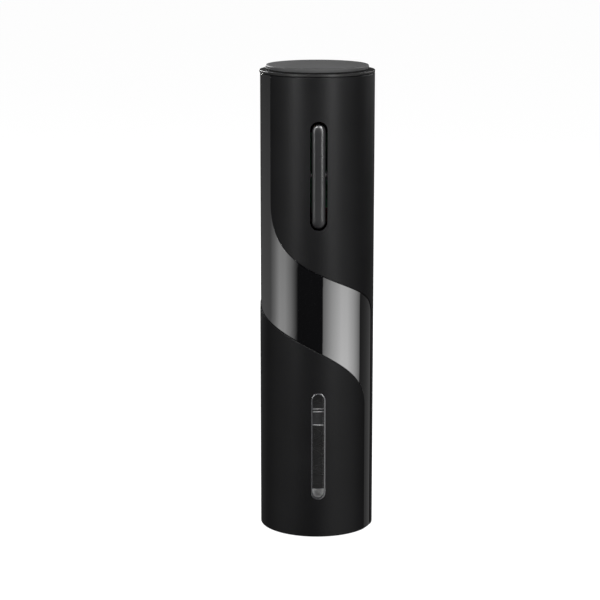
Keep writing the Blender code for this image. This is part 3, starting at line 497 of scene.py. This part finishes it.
def pill(size, steps=16):
    """Return the outline of an upright round-ended bar from its (width, bottom, top)."""
    width, bottom, top = size
    radius = width / 2
    points = []
    for centre, start in ((top - radius, 0.0), (bottom + radius, math.pi)):
        for i in range(steps + 1):
            turn = start + math.pi * i / steps
            points.append((radius * math.cos(turn), centre + radius * math.sin(turn)))
    return points


def pill_shrunk(size, amount):
    """Return a pill's size with every side moved in by an amount."""
    width, bottom, top = size
    return width - 2 * amount, bottom + amount, top - amount


def fillet(profile, radius, steps=4):
    """Round the corners of a closed (radius, height) profile, apart from those on the axis."""
    count = len(profile)
    rounded = []
    for i, corner in enumerate(profile):
        here = Vector(corner)
        before = Vector(profile[i - 1]) - here
        after = Vector(profile[(i + 1) % count]) - here
        if here.x < 0.01:
            rounded.append(here)
            continue
        reach = min(radius, 0.45 * before.length, 0.45 * after.length)
        start = here + before.normalized() * reach
        end = here + after.normalized() * reach
        for k in range(steps + 1):
            t = k / steps
            rounded.append(start * (1 - t) ** 2 + here * 2 * t * (1 - t) + end * t ** 2)
    return rounded


def turned(profile, steps=120, centre=(0.0, 0.0)):
    """Return a closed (radius, height) profile turned about an upright axis."""
    x, y = centre
    bm = bmesh.new()
    poles = [bm.verts.new((x * MM, y * MM, z * MM)) if r < 0.01 else None for r, z in profile]
    rings = []
    for i in range(steps):
        turn = 2 * math.pi * i / steps
        cosine = math.cos(turn) * MM
        sine = math.sin(turn) * MM
        rings.append([pole or bm.verts.new((x * MM + r * cosine, y * MM + r * sine, z * MM))
                      for pole, (r, z) in zip(poles, profile)])
    for i in range(steps):
        first = rings[i - 1]
        second = rings[i]
        for j in range(len(profile)):
            corners = (first[j - 1], first[j], second[j], second[j - 1])
            corners = list(dict.fromkeys(corners))
            if len(corners) > 2:
                bm.faces.new(corners)
    return bm


def circle(centre, radius, steps=12):
    """Return the outline of a circle."""
    angles = [2 * math.pi * i / steps for i in range(steps)]
    return [(centre[0] + radius * math.cos(a), centre[1] + radius * math.sin(a)) for a in angles]


def ring_profile(outer, inner, top, bottom):
    """Return the closed profile of a plain tube."""
    return ((outer, top), (outer, bottom), (inner, bottom), (inner, top))


def box(low, high):
    """Return a box between two corners."""
    low = Vector(low) * MM
    high = Vector(high) * MM
    bm = bmesh.new()
    place = Matrix.Translation((low + high) / 2) @ Matrix.Diagonal((*(high - low), 1.0))
    bmesh.ops.create_cube(bm, size=1.0, matrix=place)
    return bm


def rod(start, end, radius):
    """Return a round rod between two points."""
    start = Vector(start) * MM
    end = Vector(end) * MM
    along = end - start
    bm = bmesh.new()
    place = Matrix.Translation((start + end) / 2) @ along.to_track_quat("Z", "Y").to_matrix().to_4x4()
    bmesh.ops.create_cone(bm, cap_ends=True, segments=32, radius1=radius * MM, radius2=radius * MM,
                          depth=along.length, matrix=place)
    return bm


def cut(piece, bm):
    """Cut a solid out of a piece."""
    mesh = bpy.data.meshes.new("cutter")
    bm.to_mesh(mesh)
    bm.free()
    cutter = bpy.data.objects.new("cutter", mesh)
    bpy.context.scene.collection.objects.link(cutter)
    boolean = piece.modifiers.new("cut", "BOOLEAN")
    boolean.solver = "EXACT"
    boolean.object = cutter
    graph = bpy.context.evaluated_depsgraph_get()
    result = bpy.data.meshes.new_from_object(piece.evaluated_get(graph))
    piece.modifiers.remove(boolean)
    piece.data = result
    bpy.data.objects.remove(cutter)


def wire(name, points, radius, slot, body, tapers=None):
    """Return a round wire along a list of points, as a curve piece of the same name as its node."""
    curve = bpy.data.curves.new(name, "CURVE")
    curve.dimensions = "3D"
    curve.bevel_depth = radius * MM
    curve.bevel_resolution = 5
    curve.use_fill_caps = True
    spline = curve.splines.new("POLY")
    spline.points.add(len(points) - 1)
    for index, (point, co) in enumerate(zip(spline.points, points)):
        point.co = (co[0] * MM, co[1] * MM, co[2] * MM, 1.0)
        point.radius = tapers[index] if tapers else 1.0
    spline.use_smooth = True
    curve.materials.append(MATERIALS[slot])
    piece = bpy.data.objects.new(f"{name}_fine", curve)
    bpy.context.scene.collection.objects.link(piece)
    return place_piece(piece, body, name)


# ---------------------------------------------------------------- outer skin

def shell(name, outline, holes, radius, thickness, slot, edge=COVER_EDGE, hole_edge=None):
    """Build one wrapped shell from the seams that bound it."""
    seam = inset(unrolled(outline), GAP / 2)
    bm = wrap(slab(seam, holes, thickness, edge, hole_edge), radius)
    return finish_piece(f"{name}_fine", bm, slot, "housing", name)


def build_skin():
    """The covers and the glossy band, bounded by their common seams."""
    top = SKIN_TOP + GAP / 2
    bottom = SKIN_BOTTOM - GAP / 2
    upper = bezier(UPPER_EDGE)
    lower = bezier(LOWER_EDGE)
    left = upper[0][0]
    right = upper[-1][0]
    foot = lower[-1][0]
    shell("upper_cover", [(left, top), *upper, (right, bottom), (REAR_SEAM, bottom), (REAR_SEAM, top)],
          [pill(SLOT)], BODY_R, COVER_T, "matt_black", hole_edge=SLOT_EDGE)
    shell("lower_cover", [*lower, (foot, bottom), (-REAR_SEAM, bottom)],
          [pill(WINDOW)], BODY_R, COVER_T, "matt_black", hole_edge=WINDOW_EDGE)
    shell("gloss_band", [(left, top), (-REAR_SEAM, top), *lower, (foot, bottom), (right, bottom),
                         *reversed(upper)], [], BAND_R, BAND_T, "gloss_black", edge=BAND_EDGE)
    shell("rear_cover", [(REAR_SEAM, bottom), (360 - REAR_SEAM, bottom), (360 - REAR_SEAM, top),
                         (REAR_SEAM, top)], [], BODY_R, COVER_T, "matt_black")


def build_lens():
    """The clear window and the brighter edge that its rounded rim shows."""
    face = pill_shrunk(WINDOW, GAP)
    pane = pill_shrunk(face, LENS_EDGE)
    bm = wrap(slab(pill(pane), [], LENS_T, 0.1), BODY_R - LENS_INSET)
    finish_piece("window_lens_fine", bm, "lens_clear", "housing", "window_lens")
    bm = wrap(slab(pill(face), [pill(pane)], LENS_T, 0.3, 0.1), BODY_R - RIM_INSET)
    finish_piece("window_rim_fine", bm, "lens_clear", "housing", material="lens_edge")


def build_rocker():
    """The crowned rocker bar, sloped at both ends, with the keel that its pin passes through."""
    width = ROCKER[0]
    bm = bmesh.new()
    rings = []
    steps = 10
    for k in range(steps):
        turn = math.pi / 2 * (1 - k / steps)
        side, bottom, top = pill_shrunk(ROCKER, width / 2 * (1 - math.sin(turn) ** 0.8))
        slope = (width - side) * ROCKER_END_SLOPE
        size = (side, bottom + slope, top - slope)
        depth = ROCKER_CROWN * (1 - math.cos(turn))
        rings.append([bm.verts.new((x * MM, (ROCKER_FRONT_Y + depth) * MM, z * MM)) for x, z in pill(size)])
    back = [bm.verts.new((x * MM, ROCKER_BACK_Y * MM, z * MM)) for x, z in pill(ROCKER)]
    bridge(bm, [back, *rings])
    bm.faces.new(back)
    bm.faces.new(rings[-1])
    finish_piece("rocker_button_fine", bm, "satin_black", "rocker", "rocker_button", 60.0)
    bm = box(KEEL_LOW, KEEL_HIGH)
    bmesh.ops.bevel(bm, geom=bm.edges[:], offset=KEEL_BEVEL * MM, segments=2, profile=0.5, affect="EDGES")
    keel = finish_piece("rocker_keel_fine", bm, "satin_black", "rocker")
    cut(keel, rod((-PIN_HALF_L, PIN_Y, PIN_Z), (PIN_HALF_L, PIN_Y, PIN_Z), PIN_BORE_R))


def build_top():
    """The shoulder ring, the battery cap, its seal and the contact disc under it."""
    collar = ((BODY_R, SHOULDER_TOP), (BODY_R, SHOULDER_FLANGE), (FRAME_R, SHOULDER_FLANGE),
              (FRAME_R, SHOULDER_BOTTOM), (SHOULDER_BORE_R, SHOULDER_BOTTOM),
              (SHOULDER_BORE_R, SHOULDER_TOP))
    finish_piece("top_collar_fine", turned(fillet(collar, 0.15)), "satin_black", "housing", "top_collar",
                 material="shoulder_black")
    groove_r, groove_bottom, groove_top = SEAL_GROOVE
    cap = ((0.0, CAP_TOP), (CAP_R, CAP_TOP), (CAP_R, CAP_UNDERSIDE), (SKIRT_R, CAP_UNDERSIDE),
           (SKIRT_R, groove_top), (groove_r, groove_top), (groove_r, groove_bottom),
           (SKIRT_R, groove_bottom), (SKIRT_R, SKIRT_BOTTOM), (SKIRT_IN_R, SKIRT_BOTTOM),
           (SKIRT_IN_R, CAP_UNDERSIDE),
           (CAP_POST_R, CAP_UNDERSIDE), (CAP_POST_R, DISC_Z), (0.0, DISC_Z))
    finish_piece("battery_cap_fine", turned(fillet(cap, 0.8, 6)), "cap_grey", "cap", "battery_cap")
    finish_piece("cap_seal_fine", turned(circle(SEAL_RING, SEAL_WIRE_R)), "rubber", "cap", "cap_seal")
    disc = fillet(ring_profile(DISC_R, DISC_BORE_R, DISC_Z + DISC_T, DISC_Z), 0.3)
    finish_piece("contact_disc_fine", turned(disc), "frame_black", "contact_disc", "contact_disc")


def build_foot():
    """The foot ring that the opener stands on, with its sunk screw holes."""
    profile = ((FOOT_SPIGOT_R, FOOT_SPIGOT_TOP), (FOOT_SPIGOT_R, FOOT_T), (FRAME_R, FOOT_T), (FRAME_R, 0.0),
               (MOUTH_R + MOUTH_FLARE, 0.0), (MOUTH_R, MOUTH_FLARE), (MOUTH_R, FOOT_SPIGOT_TOP))
    ring = turned(fillet(profile, 0.2, 2))
    foot = finish_piece("base_ring_fine", ring, "frame_black", "housing", "base_ring")
    for angle in SCREW_ANGLES:
        turn = math.radians(angle)
        x = SCREW_CIRCLE_R * math.sin(turn)
        y = -SCREW_CIRCLE_R * math.cos(turn)
        for radius, start, end in (SCREW_HEAD, SCREW_HOLE):
            cut(foot, rod((x, y, start), (x, y, end), radius))


# ---------------------------------------------------------------- bottle end and worm

def build_worm():
    """The worm: a straight shank, a smooth run-out into the helix and a sharp tip."""
    turns = (HELIX_TOP - WORM_TIP) / WORM_PITCH
    count = int(turns * WORM_STEPS)
    points = [(0.0, 0.0, WORM_TOP)]
    tapers = [1.0]
    for i in range(count + 1):
        done = turns * i / count
        ramp = min(done / RUN_OUT_TURNS, 1.0)
        radius = WORM_MEAN_R * (3 * ramp ** 2 - 2 * ramp ** 3)
        angle = -2 * math.pi * done
        points.append((radius * math.cos(angle), radius * math.sin(angle), HELIX_TOP - done * WORM_PITCH))
        tapers.append(max(TIP_SHARE, min(1.0, (turns - done) / POINT_TURNS)))
    wire("worm", points, WORM_WIRE_R, "worm_coat", "worm", tapers)


def build_guide():
    """The guide ring, a dark dish with a bright band round it."""
    under, floor = GUIDE_FLOOR
    guide = ((GUIDE_BODY_R, GUIDE_BODY_TOP), (GUIDE_BODY_R, GUIDE_BOTTOM), (GUIDE_WALL_R, GUIDE_BOTTOM),
             (GUIDE_FUNNEL_R, under), (GUIDE_HOLE_R, under), (GUIDE_HOLE_R, GUIDE_HUB_TOP),
             (GUIDE_HUB_R, GUIDE_HUB_TOP), (GUIDE_HUB_R, floor), (GUIDE_WALL_R, floor),
             (GUIDE_WALL_R, GUIDE_BODY_TOP))
    finish_piece("guide_ring_fine", turned(fillet(guide, 0.4)), "frame_black", "guide", "guide_ring")
    trim = ((GUIDE_R, GUIDE_TOP), (GUIDE_R, GUIDE_BOTTOM), (GUIDE_BODY_R, GUIDE_BOTTOM),
            (GUIDE_BODY_R, GUIDE_BODY_TOP), (GUIDE_WALL_R, GUIDE_BODY_TOP), (GUIDE_WALL_R, GUIDE_TOP))
    finish_piece("guide_trim_fine", turned(fillet(trim, 0.3)), "guide_silver", "guide")


def build_stop_collar():
    """The collar that the bottle's lip stops on, with the bright lines round it."""
    collar = ((COLLAR_R, COLLAR_TOP), (COLLAR_R, COLLAR_BOTTOM),
              (CORK_R + CORK_FLARE, COLLAR_BOTTOM), (CORK_R, COLLAR_BOTTOM + CORK_FLARE),
              (CORK_R, COLLAR_TOP))
    finish_piece("stop_collar_fine", turned(fillet(collar, 0.5)), "inner_grey", "housing", "stop_collar")
    for number, z in enumerate(COLLAR_BEADS, 1):
        bead = turned(circle((COLLAR_R, z), BEAD_R))
        finish_piece(f"stop_collar_bead_{number}_fine", bead, "steel", "housing")


def build_neck_sleeve():
    """The sleeve round the bottle's neck, cut for the window and for the guide ring's two tabs."""
    tube = turned(ring_profile(SLEEVE_R, MOUTH_R, SLEEVE_TOP, SLEEVE_BOTTOM))
    sleeve = finish_piece("neck_sleeve_fine", tube, "frame_black", "housing", "neck_sleeve",
                          material="inner_grey")
    half, front, back, bottom = SLEEVE_WINDOW
    cut(sleeve, box((-half, front, bottom), (half, back, SLEEVE_CUT_TOP)))
    inner, outer, half, bottom = SLEEVE_GROOVE
    for side in (-1, 1):
        low, high = sorted((side * inner, side * outer))
        cut(sleeve, box((low, -half, bottom), (high, half, SLEEVE_CUT_TOP)))


# ---------------------------------------------------------------- battery

def build_springs():
    """The cells' conical contact springs, with round wire."""
    for name, x, y, low, widens, body in (("front_left", -1, -1, SPRING_HIGH, True, "contact_disc"),
                                          ("rear_right", 1, 1, SPRING_HIGH, True, "contact_disc"),
                                          ("rear_left", -1, 1, SPRING_LOW, False, "housing"),
                                          ("front_right", 1, -1, SPRING_LOW, False, "housing")):
        axis = Vector((x * CELL_OFFSET, y * CELL_OFFSET, low))
        points = []
        for i in range(SPRING_STEPS + 1):
            part = i / SPRING_STEPS
            radius = SPRING_R + SPRING_WIDENING * (part if widens else 1 - part)
            turn = 2 * math.pi * SPRING_TURNS * part
            points.append(axis + Vector((radius * math.cos(turn), radius * math.sin(turn), SPRING_H * part)))
        wire(f"contact_spring_{name}", points, SPRING_WIRE_R, "nickel", body)


def build_cells():
    """The four AA cells, nub up or nub down, with bare metal at both ends of each sleeve."""
    shoulder = CELL_L - NUB_H
    low, high = BARE_SUNK
    sleeve = ((0, shoulder), (CELL_R, shoulder), (CELL_R, 0), (BARE_R, 0), (BARE_R, high), (0, high))
    tip = ((0, CELL_L), (NUB_R, CELL_L), (NUB_R, shoulder), (0, shoulder))
    base = ((0, high), (BARE_R, high), (BARE_R, low), (0, low))
    for name, x, y, nub_up in (("front_left", -1, -1, False), ("rear_left", -1, 1, True),
                               ("rear_right", 1, 1, False), ("front_right", 1, -1, True)):
        flat, up = (NUB_UP_Z, 1) if nub_up else (NUB_DOWN_Z + CELL_L, -1)
        centre = (x * CELL_OFFSET, y * CELL_OFFSET)
        node = f"battery_cell_{name}"
        for suffix, outline, edge, slot, replaced in (("", sleeve, 0.5, "cell_sleeve", node),
                                                      ("_tip", tip, 0.4, "nickel", None),
                                                      ("_base", base, 0.05, "nickel", None)):
            profile = [(r, flat + up * height) for r, height in outline]
            bm = turned(fillet(profile, edge), 48, centre)
            finish_piece(f"{node}{suffix}_fine", bm, slot, "housing", replaced)


# ---------------------------------------------------------------- stage, light and camera

def build_floor():
    """A plain floor that glows almost white, so that it merges with the backdrop."""
    bm = bmesh.new()
    bmesh.ops.create_grid(bm, x_segments=1, y_segments=1, size=FLOOR_HALF_M)
    mesh = bpy.data.meshes.new("floor")
    bm.to_mesh(mesh)
    bm.free()
    floor = bpy.data.objects.new("floor", mesh)
    bpy.context.scene.collection.objects.link(floor)
    floor.location.z = FLOOR_Z_M
    material, tree, shader, _ = new_material("floor_white")
    shader.inputs["Base Color"].default_value = (FLOOR_GREY, FLOOR_GREY, FLOOR_GREY, 1.0)
    shader.inputs["Roughness"].default_value = 1.0
    shader.inputs["Specular IOR Level"].default_value = 0.0
    shader.inputs["Emission Color"].default_value = (1.0, 1.0, 1.0, 1.0)
    shader.inputs["Emission Strength"].default_value = FLOOR_GLOW
    mesh.materials.append(material)
    floor.visible_glossy = False


def build_studio():
    """A white backdrop for the camera and a ring of soft panels for the light."""
    world = bpy.data.worlds.new("studio")
    bpy.context.scene.world = world
    world.use_nodes = True
    tree = world.node_tree
    tree.nodes.clear()
    nodes = tree.nodes
    coordinates = nodes.new("ShaderNodeTexCoord")
    split = nodes.new("ShaderNodeSeparateXYZ")
    flip = nodes.new("ShaderNodeMath")
    flip.operation = "MULTIPLY"
    flip.inputs[1].default_value = -1.0
    azimuth = nodes.new("ShaderNodeMath")
    azimuth.operation = "ARCTAN2"
    spread = nodes.new("ShaderNodeMapRange")
    spread.inputs["From Min"].default_value = -math.pi
    spread.inputs["From Max"].default_value = math.pi
    ramp = nodes.new("ShaderNodeValToRGB")
    elements = ramp.color_ramp.elements
    for _ in range(len(STUDIO) - 2):
        elements.new(0.5)
    for element, (angle, level) in zip(elements, STUDIO):
        element.position = (angle + 180) / 360
        element.color = (level, level, level, 1.0)
    panels = nodes.new("ShaderNodeBackground")
    fade = nodes.new("ShaderNodeMapRange")
    fade.inputs["From Min"].default_value = PANEL_LOW[0]
    fade.inputs["From Max"].default_value = PANEL_HIGH[0]
    fade.inputs["To Min"].default_value = PANEL_LOW[1] * PANEL_STRENGTH
    fade.inputs["To Max"].default_value = PANEL_HIGH[1] * PANEL_STRENGTH
    backdrop = nodes.new("ShaderNodeBackground")
    backdrop.inputs["Color"].default_value = (1.0, 1.0, 1.0, 1.0)
    path = nodes.new("ShaderNodeLightPath")
    mix = nodes.new("ShaderNodeMixShader")
    output = nodes.new("ShaderNodeOutputWorld")
    link = tree.links.new
    link(coordinates.outputs["Generated"], split.inputs["Vector"])
    link(split.outputs["Y"], flip.inputs[0])
    link(split.outputs["X"], azimuth.inputs[0])
    link(flip.outputs[0], azimuth.inputs[1])
    link(azimuth.outputs[0], spread.inputs["Value"])
    link(spread.outputs["Result"], ramp.inputs["Fac"])
    link(ramp.outputs["Color"], panels.inputs["Color"])
    link(split.outputs["Z"], fade.inputs["Value"])
    link(fade.outputs["Result"], panels.inputs["Strength"])
    link(path.outputs["Is Camera Ray"], mix.inputs["Fac"])
    link(panels.outputs["Background"], mix.inputs[1])
    link(backdrop.outputs["Background"], mix.inputs[2])
    link(mix.outputs["Shader"], output.inputs["Surface"])


def add_softbox(name, azimuth, elevation, size, power):
    """Add a rectangular lamp that faces the middle of the opener."""
    target = Vector((0.0, 0.0, LAMP_TARGET_Z_M))
    turn = math.radians(azimuth)
    tilt = math.radians(elevation)
    direction = Vector((math.sin(turn) * math.cos(tilt), -math.cos(turn) * math.cos(tilt), math.sin(tilt)))
    lamp = bpy.data.lights.new(name, "AREA")
    lamp.shape = "RECTANGLE"
    lamp.size, lamp.size_y = size
    lamp.energy = power
    light = bpy.data.objects.new(name, lamp)
    bpy.context.scene.collection.objects.link(light)
    light.location = target + direction * LAMP_DISTANCE_M
    light.rotation_euler = (-direction).to_track_quat("-Z", "Y").to_euler()
    light.visible_camera = False


def build_lamps():
    """Two strips and two small fills in front, a soft one overhead and two behind for the back."""
    for lamp in LAMPS:
        add_softbox(*lamp)


def build_camera():
    """The camera at the product shot's viewing angle: a long lens a little above the opener."""
    azimuth = math.radians(CAMERA_AZIMUTH)
    elevation = math.radians(CAMERA_ELEVATION)
    aim_right, aim_height = CAMERA_AIM_M
    right = Vector((math.cos(azimuth), math.sin(azimuth), 0.0))
    direction = Vector((math.sin(azimuth) * math.cos(elevation), -math.cos(azimuth) * math.cos(elevation),
                        math.sin(elevation)))
    data = bpy.data.cameras.new("camera")
    data.sensor_width = 36.0
    data.lens = CAMERA_LENS
    data.clip_start = 0.01
    camera = bpy.data.objects.new("camera", data)
    bpy.context.scene.collection.objects.link(camera)
    camera.location = Vector((0.0, 0.0, ORBIT_CENTRE_M)) + direction * CAMERA_DISTANCE_M
    target = right * aim_right + Vector((0.0, 0.0, aim_height))
    camera.rotation_euler = (target - camera.location).to_track_quat("-Z", "Y").to_euler()
    bpy.context.scene.camera = camera


finish_cad_nodes()
build_skin()
build_lens()
build_rocker()
build_top()
build_foot()
build_worm()
build_guide()
build_stop_collar()
build_neck_sleeve()
build_springs()
build_cells()
build_floor()
build_studio()
build_lamps()
build_camera()
bpy.context.scene.view_settings.view_transform = "Standard"

bpy.context.view_layer.update()
